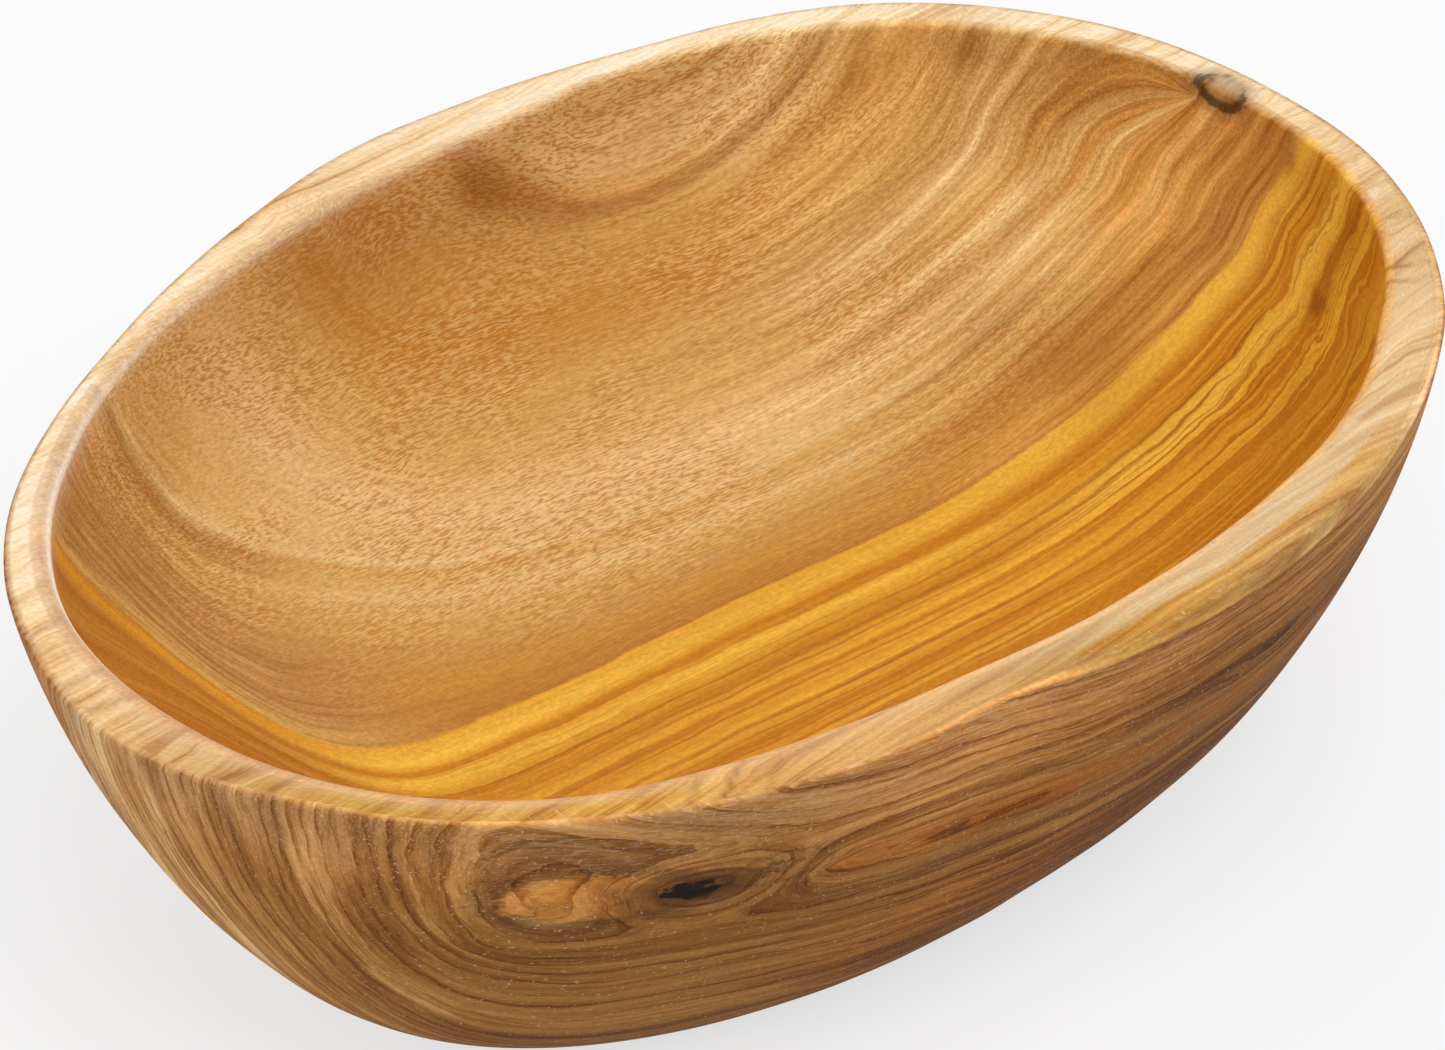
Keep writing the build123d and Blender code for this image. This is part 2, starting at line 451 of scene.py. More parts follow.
# The painted highlight along the inner edge, its line and halo: amount round the bowl * bell(distance from
# the line / width).
def paintedEdgeHighlight(points, degrees, outside, sawn):
    highlightAmount = roundBowl(degrees, wood["edgeHighlight"]) * (outside < 0.5)
    lineDepth = wood["edgeDepth"] * innerRounding(degrees) / mm
    below = (bowl["height"] - points[..., 2]) / mm
    away = np.where(sawn, lineDepth + outside * bowl["endWall"] / mm, np.abs(below - lineDepth))
    return (highlightAmount * bell(away / width) for width in wood["edgeWidths"])


# Faces of the grid: quads between rings, with a fan of triangles closing the floor's middle and the foot's.
def gridFaces(ringCount, pointCount):
    i = np.arange(ringCount - 1)[:, None] * pointCount
    j = np.arange(pointCount)[None, :]
    k = (j + 1) % pointCount
    quads = np.stack([i + j, i + pointCount + j, i + pointCount + k, i + k], -1).reshape(-1, 4)
    first, last = ringCount * pointCount, ringCount * pointCount + 1
    top = (ringCount - 1) * pointCount
    j, k = j[0], k[0]
    startFan = np.stack([np.full(pointCount, first), j, k], -1)
    endFan = np.stack([np.full(pointCount, last), top + k, top + j], -1)
    return quads.tolist() + startFan.tolist() + endFan.tolist()


bakeDiscs = {
    "hollow": (0.25, 1.0),  # its middle's U, and which way round it lies
    "wall": (0.75, -1.0),
    "middleV": 0.5,
    "radii": (0.243, 0.486),
}


# Bake map: the hollow and the outside each fill half of the square, as discs unrolled by arc length.
def bakeMap(mesh, grid, seamRing):
    steps = np.linalg.norm(np.diff(grid, axis=0), axis=-1).mean(1)
    arc = np.r_[0, np.cumsum(steps)] + steps[0]
    whole = arc[-1] + steps[-1]
    angle = np.linspace(0, 2 * np.pi, grid.shape[1], endpoint=False)
    inside = np.r_[arc / arc[seamRing], 0, 0]
    outside = np.r_[(whole - arc) / (whole - arc[seamRing]), 0, 0]
    ring = np.r_[np.repeat(np.arange(len(grid)), grid.shape[1]), len(grid), len(grid)]
    turn = np.r_[np.tile(angle, len(grid)), 0, 0]
    corner = np.empty(len(mesh.loops), np.int32)
    mesh.loops.foreach_get("vertex_index", corner)
    start = np.empty(len(mesh.polygons), np.int32)
    total = np.empty(len(mesh.polygons), np.int32)
    mesh.polygons.foreach_get("loop_start", start)
    mesh.polygons.foreach_get("loop_total", total)
    isFoot = corner[start] == len(ring) - 1  # the last fan starts each face at the foot's middle
    hollowSide = (np.minimum.reduceat(ring[corner], start) < seamRing) & ~isFoot
    hollowSide = np.repeat(hollowSide, total)
    reach = np.where(hollowSide, inside[ring[corner]], outside[ring[corner]])
    middleU, way = (np.where(hollowSide, a, b) for a, b in zip(bakeDiscs["hollow"], bakeDiscs["wall"]))
    radiusU, radiusV = bakeDiscs["radii"]
    u = middleU + way * radiusU * reach * np.cos(turn[corner])
    v = bakeDiscs["middleV"] + radiusV * reach * np.sin(turn[corner])
    layer = mesh.uv_layers.new(name="OFBake")
    layer.data.foreach_set("uv", np.stack([u, v], -1).astype(np.float32).ravel())


# What the mesh carries for the wood: each layer holds three values for a point.
layerParts = {
    "grain": ("along", "rawRing", "height"),
    "fineGrain": ("across", "rawFine", "eastern"),
    "finish": ("rimShare", "outShare", "golden"),
    "knots": ("wallKnot", "rimKnot", "rimKnotInside"),
    # marks also carry the wood's lightness, which holds painted shade
    "marks": ("patch", "stain", "toneAndShade"),
    # the painted highlight on the inner edge, as a line and a halo, and the swirl
    "edges": ("highlightLine", "highlightHalo", "swirl"),
}


# The values of every layer, worked out over the whole grid.
def skinValues(grid, outside, sawn):
    degrees = np.tile(np.linspace(0, 360, grid.shape[1], endpoint=False), (len(grid), 1))
    outside = np.repeat(outside[:, None], grid.shape[1], 1)
    sawn = sawn[:, None]
    values = {"outShare": outside, "eastern": easternShare(degrees) * outside}
    values["along"], values["across"], values["height"] = (grid[..., axis] / mm for axis in range(3))
    values["rawRing"], values["rawFine"] = growthRings(grid, degrees, outside)
    values["rimShare"] = rimShareAt(grid, degrees, outside, sawn)
    start, over, golden = wood["runGolden"]
    values["golden"] = roundBowl(degrees, wood["golden"])
    values["golden"] += golden * ramp(rimReach(degrees) / over) * (outside > start)
    for name in ("wallKnot", "swirl", "rimKnot", "rimKnotInside", "patch"):
        values[name] = distanceFrom(grid, *wood[name])
    values["stain"] = darkMarks(grid, values["rawRing"], outside)
    # the wood's lightness, with painted shade towards the foot and on the near rim
    values["toneAndShade"] = woodToneAndShade(grid, degrees, outside)
    values["highlightLine"], values["highlightHalo"] = paintedEdgeHighlight(grid, degrees, outside, sawn)
    return values


# The grid as one closed mesh with its layers and its bake map, in place of the plain bowl.
def makeBowl():
    grid, outside, sawn, seamRing, footMiddle = bowlGrid()
    points = np.concatenate([grid.reshape(-1, 3), [grid[0].mean(0)], [footMiddle]])
    mesh = bpy.data.meshes.new("carvedBowl")
    mesh.from_pydata(points, [], gridFaces(*grid.shape[:2]))
    mesh.shade_smooth()
    values = skinValues(grid, outside, sawn)
    for name, parts in layerParts.items():
        flat = np.stack([values[part] for part in parts], -1).reshape(-1, 3)
        flat = np.concatenate([flat, flat[:1], flat[-1:]])  # the two middles take their neighbours' values
        layer = mesh.attributes.new(name, "FLOAT_VECTOR", "POINT")
        layer.data.foreach_set("vector", flat.astype(np.float32).ravel())
    bakeMap(mesh, grid, seamRing)
    piece = bpy.data.objects.new("carved_bowl", mesh)
    scene.collection.objects.link(piece)
    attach(piece, "root")
    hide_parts("bowl")
    return piece


# A colour as it looks on a screen, 0 to 255, turned into the light values that a shader takes.
def shade(red, green, blue):
    parts = [c / 255 for c in (red, green, blue)]
    return [c / 12.92 if c <= 0.04045 else ((c + 0.055) / 1.055) ** 2.4 for c in parts] + [1.0]


# Puts a value, or a link where it is a socket, into each named input.
def fill(tree, node, inputs):
    for name, value in inputs.items():
        socket = node.inputs[name]
        if isinstance(value, bpy.types.NodeSocket):
            tree.links.new(value, socket)
        else:
            socket.default_value = value
    return node


# A new node with its settings and inputs.
def addNode(tree, kind, inputs=None, **settings):
    node = tree.nodes.new(kind)
    for name, value in settings.items():
        setattr(node, name, value)
    return fill(tree, node, inputs or {})


# One step of arithmetic.
def calc(tree, operation, first, second=0.0, third=0.0):
    return addNode(tree, "ShaderNodeMath", {0: first, 1: second, 2: third}, operation=operation).outputs[0]


# The product of all of them.
def times(tree, first, *others):
    for other in others:
        first = calc(tree, "MULTIPLY", first, other)
    return first


# A noise about 0, from one about a half.
def centred(tree, value):
    return calc(tree, "SUBTRACT", value, 0.5)


# A vector from its three parts.
def combine(tree, x, y, z):
    return addNode(tree, "ShaderNodeCombineXYZ", {0: x, 1: y, 2: z}).outputs[0]


# A value's range from low to high, turned into another range.
def rescale(tree, value, fromLow, fromHigh, toLow=0.0, toHigh=1.0, smooth=True):
    inputs = {"Value": value, "From Min": fromLow, "From Max": fromHigh, "To Min": toLow, "To Max": toHigh}
    kind = "SMOOTHSTEP" if smooth else "LINEAR"
    return addNode(tree, "ShaderNodeMapRange", inputs, interpolation_type=kind).outputs["Result"]


# first * (1 - factor) + second * factor.
def mixColour(tree, factor, first, second):
    node = addNode(tree, "ShaderNodeMix", data_type="RGBA")
    return fill(tree, node, {0: factor, 6: first, 7: second}).outputs[2]


# A colour band: stops are (place from 0 to 1, colour on a screen).
def colourBand(tree, factor, stops):
    node = addNode(tree, "ShaderNodeValToRGB", {"Fac": factor})
    elements = node.color_ramp.elements
    for place, colour in stops[1:-1]:
        elements.new(place).color = shade(*colour)
    elements[0].position, elements[0].color = stops[0][0], shade(*stops[0][1])
    elements[-1].position, elements[-1].color = stops[-1][0], shade(*stops[-1][1])
    return node.outputs["Color"]


# A colour times one amount.
def brighten(tree, colour, amount):
    return addNode(tree, "ShaderNodeVectorMath", {0: colour, "Scale": amount}, operation="SCALE").outputs[0]


# Each part of a vector or a colour times its own factor.
def timesEach(tree, vector, factors):
    return addNode(tree, "ShaderNodeVectorMath", {0: vector, 1: factors}, operation="MULTIPLY").outputs[0]


# Colours as they look on a screen, 0 to 255, by the names that the bands below use.
palette = {
    "ivory": (240, 208, 140), "cream": (226, 188, 124), "straw": (218, 180, 114), "wheat": (212, 168, 96),
    "honey": (206, 158, 84), "tan": (196, 146, 78), "caramel": (194, 138, 60), "toffee": (180, 128, 68),
    "russet": (176, 116, 46), "amber": (206, 142, 64), "apricot": (218, 166, 90),
    "gold": (228, 172, 62), "ochre": (216, 154, 46), "brass": (206, 138, 34), "bronze": (194, 124, 30),
    "treacle": (168, 102, 34), "malt": (188, 126, 50),
    "rust": (190, 108, 30), "umber": (120, 72, 30), "brown": (142, 90, 38), "chestnut": (156, 102, 46),
    # pale and the colour after it are also painted sheen, in the onion's last bands at the near wall's -X end
    "clay": (172, 118, 58), "sand": (184, 130, 68), "pale": (216, 170, 110), "sheenTan": (184, 144, 98),
}

# Bands of growth rings: (millimetres from the end of the heartwood, name of a colour).
ringBands = {
    "heartLeft": [(0, "honey"), (4, "toffee"), (12, "toffee"), (19, "tan"), (23, "honey"),
                  (27.5, "toffee"), (29, "straw"), (31, "wheat"), (35, "honey"), (42, "tan"),
                  (50, "honey"), (105, "honey")],
    "heartMiddle": [(0, "russet"), (7, "caramel"), (14, "tan"), (17, "honey"), (23, "straw"),
                    (27.5, "honey"), (29, "cream"), (31, "straw"), (40, "cream"), (50, "wheat"),
                    (62, "honey"), (73, "caramel"), (84, "honey"), (89, "apricot"), (93, "cream"),
                    (105, "wheat")],
    "heartRight": [(0, "amber"), (9, "caramel"), (16, "russet"), (20, "honey"), (24, "honey"),
                   (28, "tan"), (31, "cream"), (33, "wheat"), (38, "straw"), (44, "tan"), (47, "straw"),
                   (52, "honey"), (60, "straw"), (70, "honey"), (80, "apricot"), (94, "ivory"),
                   (105, "wheat")],
    "heartEnd": [(0, "caramel"), (8, "russet"), (13, "caramel"), (18, "amber"), (24, "apricot"),
                 (27, "amber"), (29, "caramel"), (31, "amber"), (34, "apricot"), (38, "wheat"),
                 (41, "amber"), (44, "wheat"), (46.5, "tan"), (48, "apricot"), (50, "caramel"),
                 (54, "tan"), (58, "wheat"), (105, "honey")],
    # millimetres from the end of the heartwood the other way
    "sapLeft": [(0, "malt"), (2, "brass"), (4, "malt"), (5.5, "treacle"), (8, "malt"), (10, "malt"),
                (11.5, "treacle"), (15, "malt"), (19, "treacle"), (24, "malt"), (30, "bronze"),
                (40, "malt")],
    "sap": [(0, "ochre"), (2, "gold"), (3.5, "gold"), (5.5, "brass"), (7, "ochre"), (8.5, "gold"),
            (11, "ochre"), (14.5, "bronze"), (18, "ochre"), (20, "brass"), (24, "ochre"), (28, "bronze"),
            (33, "ochre"), (40, "brass")],
    "sapRight": [(0, "gold"), (6, "gold"), (10, "brass"), (13, "gold"), (16, "gold"), (18.5, "ochre"),
                 (20, "brass"), (28, "ochre"), (32, "bronze"), (36, "ochre"), (40, "brass")],
    # the onion on the near wall, from its heart outwards; its last bands, at the near wall's -X end, are pale
    # and greyish as painted sheen
    "onion": [(0, "rust"), (2, "brown"), (2.7, "clay"), (3.6, "umber"), (5.5, "clay"), (7, "brown"),
              (8.4, "clay"), (9.2, "brown"), (10.3, "chestnut"), (11.6, "brown"), (13, "chestnut"),
              (15.4, "chestnut"), (17.3, "sand"), (19.6, "sand"), (20.5, "brown"), (21.4, "chestnut"),
              (23, "chestnut"), (26, "clay"), (28, "brown"), (29, "clay"), (31.5, "sand"),
              (34, "chestnut"), (35.5, "sand"), (38, "clay"), (41, "chestnut"), (43, "pale"),
              (48, "sand"), (54, "pale"), (60, "sheenTan")],
}

# The other colours of the wood, on a screen.
woodColours = {
    "orange": (186, 120, 52),
    "dust": (226, 200, 168),
    "deepLine": (72, 42, 18),
    "rimPale": [(0.0, (216, 168, 108)), (0.3, (238, 204, 156)), (0.6, (246, 221, 184)),
                (1.0, (250, 232, 206))],
    "rimGolden": [(0.0, (140, 80, 28)), (0.22, (198, 130, 50)), (0.5, (226, 162, 68)),
                  (1.0, (248, 198, 104))],
    "fleck": (178, 108, 36),
    "paleFleck": (236, 196, 140),
    "darkStripe": (182, 108, 20),
    "darkLine": (138, 78, 18),
    "weather": (172, 136, 98),
    # the painted highlight on the inner edge: its halo and its line
    "stain": (136, 72, 18),
    "highlightHalo": (244, 220, 192),
    "edgeHighlight": (252, 240, 220),
    "knotCore": (30, 20, 14),
    "knotRing": (84, 52, 28),
}

# Noise patterns: waves for each millimetre along the grain, across it and up, then detail and roughness.
patterns = {
    "slow": (0.018, 0.05, 0.03, 2, 0.5),  # the rings' wander, and its small wrinkles
    "small": (0.09, 0.22, 0.15, 2, 0.5),
    "ripple": (0.2, 0.07, 0.06, 1, 0.5),  # the same for the finest grain
    "lines": (0.012, 0.75, 0.06, 4, 0.7),
    "broad": (0.012, 0.14, 0.05, 2, 0.55),
    "fine": (0.03, 1.1, 0.2, 4, 0.7),
    "thin": (0.02, 2.4, 0.3, 3, 0.65),
    "uneven": (0.4, 0.7, 0.8, 4, 0.65),  # makes edges ragged
    "middling": (0.01, 0.34, 0.04, 2, 0.5),  # the heartwood's streaks and flecks
    "threads": (0.015, 1.2, 0.06, 3, 0.6),
    "dash": (0.6, 3.9, 2.0, 1, 0.5),
    "dashLines": (0.12, 3.4, 1.0, 2, 0.6),
    "dashPatches": (0.035, 0.06, 0.04, 2, 0.5),
    "soft": (0.006, 0.3, 0.02, 2, 0.5),  # the sapwood's stripes
    "stripe": (0.005, 0.55, 0.02, 2, 0.6),
    "line": (0.008, 1.3, 0.03, 3, 0.6),
    "rimBroad": (0.016, 0.3, 0.0, 2, 0.5),
    "rimFine": (0.03, 1.3, 0.0, 3, 0.6),
    "fibre": (0.3, 2.6, 2.6, 2, 0.6),
    "speckle": (1.3, 1.3, 1.3, 1, 0.5),
    "hair": (0.3, 3.2, 3.2, 2, 0.6),  # dust in the pores, and specks along the rim
    "specks": (1.7, 1.7, 1.7, 2, 0.7),
}


# A noise from 0 to 1, mostly about a half, stretched along the grain.
def pattern(tree, vector, name):
    *stretch, detail, roughness = patterns[name]
    vector = timesEach(tree, vector, stretch)
    return addNode(tree, "ShaderNodeTexNoise", {"Vector": vector, "Scale": 1.0, "Detail": detail,
                                                "Roughness": roughness}).outputs["Fac"]


# Grain darkens towards red and pales towards cream: colour * (a^0.85, a^1.25, a^2) for an amount a.
def deepen(tree, colour, amount):
    factors = (calc(tree, "POWER", amount, power) for power in (0.85, 1.25, 2.0))
    return timesEach(tree, colour, combine(tree, *factors))


# The colour of a ring in one of the bands, counted the other way where the direction is -1.
def ringBand(tree, ring, name, direction=1.0):
    stops = ringBands[name]
    length = stops[-1][0]
    return colourBand(tree, times(tree, ring, direction / length),
                      [(place / length, palette[colour]) for place, colour in stops])


# In this and the dictionaries that follow, a range is from and to, and where they aren't 0 and 1, the
# strengths at its two ends. Places along the bowl and up it are in millimetres.
heartLook = {
    "middleFrom": (-58, -28),  # along the bowl, where the next length's bands take over
    "rightFrom": (45, 66),
    "endFrom": (86, 97),
    "streaks": (25, 70, 0.4, 1.5),  # along the bowl
    "middlingStreaks": (40, 88, 0.0, 1.5),
    "threads": 1.7,
    "threadsAlong": (-38, -62),
    "threadsAcross": (40, 24),  # rings
    "dashShare": 0.7,  # the rest is drawn out into lines
    "dashPatches": (0.38, 0.58, 0.35, 1.0),
    "dashesAcross": (4, 26, 0.3, 1),
    "dashesAlong": (72, 96, 1.0, 0.45),
    "fleck": (0.5, 0.58),  # of the dashes' noise, for the dark ones and then the pale ones
    "fleckStrength": 0.6,
    "paleFleck": (0.5, 0.42),
    "paleFleckStrength": 0.36,
}


# Heartwood in four lengths of the bowl. Along the grain it has wavy dashes, which run on into lines in
# places, and towards the ends it has streaks.
def heartwood(tree, at):
    look, along, ring = heartLook, at["along"], at["ring"]
    colour = ringBand(tree, ring, "heartLeft")
    for start, band in (("middleFrom", "heartMiddle"), ("rightFrom", "heartRight"), ("endFrom", "heartEnd")):
        colour = mixColour(tree, rescale(tree, along, *look[start]), colour, ringBand(tree, ring, band))
    streaks = times(tree, centred(tree, at["lines"]), rescale(tree, along, *look["streaks"]))
    streaks = calc(tree, "MULTIPLY_ADD", centred(tree, pattern(tree, at["wavy"], "middling")),
                   rescale(tree, along, *look["middlingStreaks"]), streaks)
    threads = times(tree, centred(tree, pattern(tree, at["wavy"], "threads")), look["threads"],
                    rescale(tree, along, *look["threadsAlong"]), rescale(tree, ring, *look["threadsAcross"]))
    colour = deepen(tree, colour, calc(tree, "ADD", calc(tree, "ADD", streaks, threads), 1.0))
    dash = times(tree, pattern(tree, at["fibres"], "dash"), look["dashShare"])
    dash = calc(tree, "MULTIPLY_ADD", pattern(tree, at["fibres"], "dashLines"), 1 - look["dashShare"], dash)
    strong = times(tree, rescale(tree, pattern(tree, at["fibres"], "dashPatches"), *look["dashPatches"]),
                   rescale(tree, ring, *look["dashesAcross"]), rescale(tree, along, *look["dashesAlong"]))
    for name in ("fleck", "paleFleck"):
        share = times(tree, rescale(tree, dash, *look[name]), strong, look[name + "Strength"])
        colour = mixColour(tree, share, colour, shade(*woodColours[name]))
    return colour


sapLook = {
    "leftFrom": (-48, -66),  # along the bowl, where the -X end's and the +X end's bands take over
    "rightFrom": (45, 70),
    "soft": (0.32, 0.66, 1.14, 0.94),
    # dark stripes and lines: noise and its range, rings over which they set in, strengths in the middle and
    # at the +X end
    "darkStripe": ("stripe", (0.5, 0.6), (-3, -7), (0.7, 0.9)),
    "darkLine": ("line", (0.54, 0.68), (-5, -12), (0.45, 0.6)),
}


# Golden sapwood in long stripes, browner at the -X end and with darker lines towards the +X end.
def sapwood(tree, at):
    look, along, ring = sapLook, at["along"], at["ring"]
    end = rescale(tree, along, *look["rightFrom"])
    colour = mixColour(tree, end, ringBand(tree, ring, "sap", -1.0), ringBand(tree, ring, "sapRight", -1.0))
    left = rescale(tree, along, *look["leftFrom"])
    colour = mixColour(tree, left, colour, ringBand(tree, ring, "sapLeft", -1.0))
    colour = deepen(tree, colour, rescale(tree, pattern(tree, at["wavy"], "soft"), *look["soft"]))
    for name in ("darkStripe", "darkLine"):
        noise, between, setIn, strengths = look[name]
        dark = times(tree, rescale(tree, pattern(tree, at["wavy"], noise), *between),
                     rescale(tree, ring, *setIn), rescale(tree, end, 0, 1, *strengths))
        colour = mixColour(tree, dark, colour, shade(*woodColours[name]))
    return colour


wallLook = {
    "insideFrom": (-40, -28),  # rings over which the onion gives way to the inside's colours
    "brown": (0.66, 0.58, 0.5),  # what age does to those
    "patchRagged": 1.1,
    "orange": (0.7, 1.0, 0.85, 0.0),  # the orange place and its outline, by distance from its middle
    "outline": (0.85, 1.05),
    "outlineEnd": (1.1, 1.4, 1.0, 0.0),
    "outlineStrength": 0.4,
    "warmth": (0.92, 0.7, 0.32),  # what the +X half's low wall does to the onion's colours
    "warmUp": (50, 14, 0.1, 1.0),
    "weatherUp": (54, 67, 0.0, 0.25),
    "plainUp": (14, 30, 0.2, 0.5),  # on the +X half the bands give way to plain chestnut
    "lines": (0.38, 0.58, 0.76, 1.16),
    "broad": (0.36, 0.6, 0.86, 1.14),
    "edgesEach": 0.62,  # dark edges for each ring, how far they waver, how sharp and how strong they are
    "edgeWaver": 1.5,
    "edgePower": 4.0,
    "edgeStrength": (0.62, 0.42, 0.15, 0.6),
    "fineLines": (0.53, 0.64),
    "fineByBroad": (0.4, 0.6, 0.8, 0.4),
    "fineEastern": (0, 1, 0.5, 1.0),
    "thinEastern": (0, 1, 0.6, 1.4),
}


# The weathered wall, with painted shade and at its -X end painted sheen: onion bands on the near side,
# elsewhere the inside's own colours gone brown.
def weatheredAndShaded(tree, at, inside):
    look, ring, height, eastern = wallLook, at["ring"], at["height"], at["eastern"]
    colour = ringBand(tree, calc(tree, "SUBTRACT", ring, wood["onion"]["heart"]), "onion")
    brown = timesEach(tree, inside, look["brown"])
    colour = mixColour(tree, rescale(tree, ring, *look["insideFrom"]), colour, brown)
    patch = calc(tree, "MULTIPLY_ADD", at["uneven"], look["patchRagged"], at["patch"])
    colour = mixColour(tree, rescale(tree, patch, *look["orange"]), colour, shade(*woodColours["orange"]))
    outline = times(tree, rescale(tree, patch, *look["outline"]), rescale(tree, patch, *look["outlineEnd"]),
                    look["outlineStrength"])
    colour = mixColour(tree, outline, colour, shade(*woodColours["deepLine"]))
    low = times(tree, eastern, rescale(tree, height, *look["warmUp"]))
    colour = mixColour(tree, low, colour, timesEach(tree, colour, look["warmth"]))
    high = rescale(tree, height, *look["weatherUp"])
    colour = mixColour(tree, high, colour, shade(*woodColours["weather"]))
    plain = times(tree, eastern, rescale(tree, height, *look["plainUp"]))
    colour = mixColour(tree, plain, colour, shade(*palette["chestnut"]))
    amount = times(tree, rescale(tree, at["lines"], *look["lines"]),
                   rescale(tree, at["broad"], *look["broad"]))
    waver = times(tree, at["broad"], look["edgeWaver"])
    edge = calc(tree, "FRACT", calc(tree, "MULTIPLY_ADD", ring, look["edgesEach"], waver))
    edge = times(tree, calc(tree, "POWER", edge, look["edgePower"]),
                 rescale(tree, at["lines"], *look["edgeStrength"]))
    colour = deepen(tree, colour, times(tree, amount, calc(tree, "SUBTRACT", 1.0, edge)))
    # the wall's lightness, partly painted shade, darker towards the foot
    colour = brighten(tree, colour, at["toneAndShade"])
    dark = times(tree, rescale(tree, pattern(tree, at["fibres"], "fine"), *look["fineLines"]),
                 rescale(tree, at["broad"], *look["fineByBroad"]),
                 rescale(tree, eastern, *look["fineEastern"]))
    colour = mixColour(tree, dark, colour, shade(*woodColours["deepLine"]))
    thin = centred(tree, pattern(tree, at["fibres"], "thin"))
    contrast = rescale(tree, eastern, *look["thinEastern"])
    return brighten(tree, colour, calc(tree, "MULTIPLY_ADD", thin, contrast, 1.0))


rimLook = {
    "wander": 5.0,  # millimetres
    "broadShare": 0.55,  # the rest is the fine lines
    "bands": (0.34, 0.62),
}


# The sawn face: straight lines along the bowl in pale wheat, and golden in places.
def rimWood(tree, at):
    across = calc(tree, "MULTIPLY_ADD", at["slow"], rimLook["wander"], at["across"])
    flat = combine(tree, at["along"], across, 0.0)
    lines = times(tree, pattern(tree, flat, "rimBroad"), rimLook["broadShare"])
    lines = calc(tree, "MULTIPLY_ADD", pattern(tree, flat, "rimFine"), 1 - rimLook["broadShare"], lines)
    place = rescale(tree, lines, *rimLook["bands"], smooth=False)
    pale, gold = (colourBand(tree, place, woodColours[name]) for name in ("rimPale", "rimGolden"))
    # the rim's lightness, with painted shade on its near side
    return brighten(tree, mixColour(tree, at["golden"], pale, gold), at["toneAndShade"])


# By distance from each knot's middle, where 1 is at its size's end. Ragged is how far the noise moves that.
knotLook = {
    "ragged": 1.6,
    "ring": (1.0, 2.4, 0.7, 0.0),
    "core": (0.55, 0.9, 1.0, 0.0),
    "swirlRagged": 1.5,
    "swirlStep": 0.4,
    "swirlLine": (0.22, 0.38),
    "swirlEnd": (0.9, 1.7, 0.5, 0.0),
    "rimRagged": 0.5,
    "rimRing": (0.9, 2.0, 0.5, 0.0),
    "rimLoop": (0.98, 1.2, 1.0, 0.0),
    "rimHole": (0.75, 1.0),
    "rimStrength": 0.72,
}


# The wall's knot is a ragged dark core with a swirl beside it, and the rim's a dark loop open to the rim.
def knots(tree, at, colour):
    look = knotLook
    ring, core = shade(*woodColours["knotRing"]), shade(*woodColours["knotCore"])

    def ragged(amount, distance):  # distance + amount * noise
        return calc(tree, "MULTIPLY_ADD", at["uneven"], amount, distance)

    reach = ragged(look["ragged"], at["wallKnot"])
    colour = mixColour(tree, rescale(tree, reach, *look["ring"]), colour, ring)
    colour = mixColour(tree, rescale(tree, reach, *look["core"]), colour, core)
    reach = ragged(look["swirlRagged"], at["swirl"])
    loops = rescale(tree, calc(tree, "PINGPONG", reach, look["swirlStep"]), *look["swirlLine"])
    colour = mixColour(tree, times(tree, loops, rescale(tree, reach, *look["swirlEnd"])), colour, core)
    reach = ragged(look["rimRagged"], at["rimKnot"])
    hole = ragged(look["rimRagged"], at["rimKnotInside"])
    loop = times(tree, rescale(tree, reach, *look["rimLoop"]), rescale(tree, hole, *look["rimHole"]),
                 look["rimStrength"])
    colour = mixColour(tree, rescale(tree, reach, *look["rimRing"]), colour, ring)
    return mixColour(tree, loop, colour, core)


# How the grain wanders, in rings, and how the skin is finished. Outside is 0 in the hollow and 1 outside.
skinLook = {
    "slowWander": (0.2, 0.8, 3.0, 2.0),  # outside
    "smallWander": 1.4,
    "curlyAlong": (66, 95),  # more of the small one in the sapwood's +X end
    "curlyAcross": (-6, -16, 0, 4.5),
    "curlyOutside": (0.0, 0.2, 1.0, 0.0),
    "ripple": 0.9,
    "fineWander": 0.3,
    "heartFrom": (-0.35, 0.35),  # rings over which the sapwood gives way to the heartwood
    "wallFrom": (0.4, 0.6),  # outside
    "rimRagged": 0.15,
    "rimFrom": (0.36, 0.68),
    "stain": 0.6,
    # the painted highlight's halo: how strong it is
    "highlightHalo": 0.3,
    "fibre": (0.3, 0.7, 0.91, 1.07),
    "speckle": (0.3, 0.7, 0.93, 1.06),
    "hair": (0.52, 0.66),
    "dustOutside": (0.8, 1.0, 0.0, 0.24),
    "dustUp": (44, 66, 0.1, 1.0),
    "specks": (0.62, 0.72),
    "specksFrom": (0.02, 0.1),
    "speckStrength": 0.5,
    "roughness": (0.2, 0.8, 0.5, 0.4),  # by the fibres
    "rougherOutside": (0.0, 0.3, 0.0, 0.25),
    "fibreRelief": 0.6,  # the rest is the lines
    "bump": (0.3, 0.3 * mm),
    "gloss": 0.07,
}


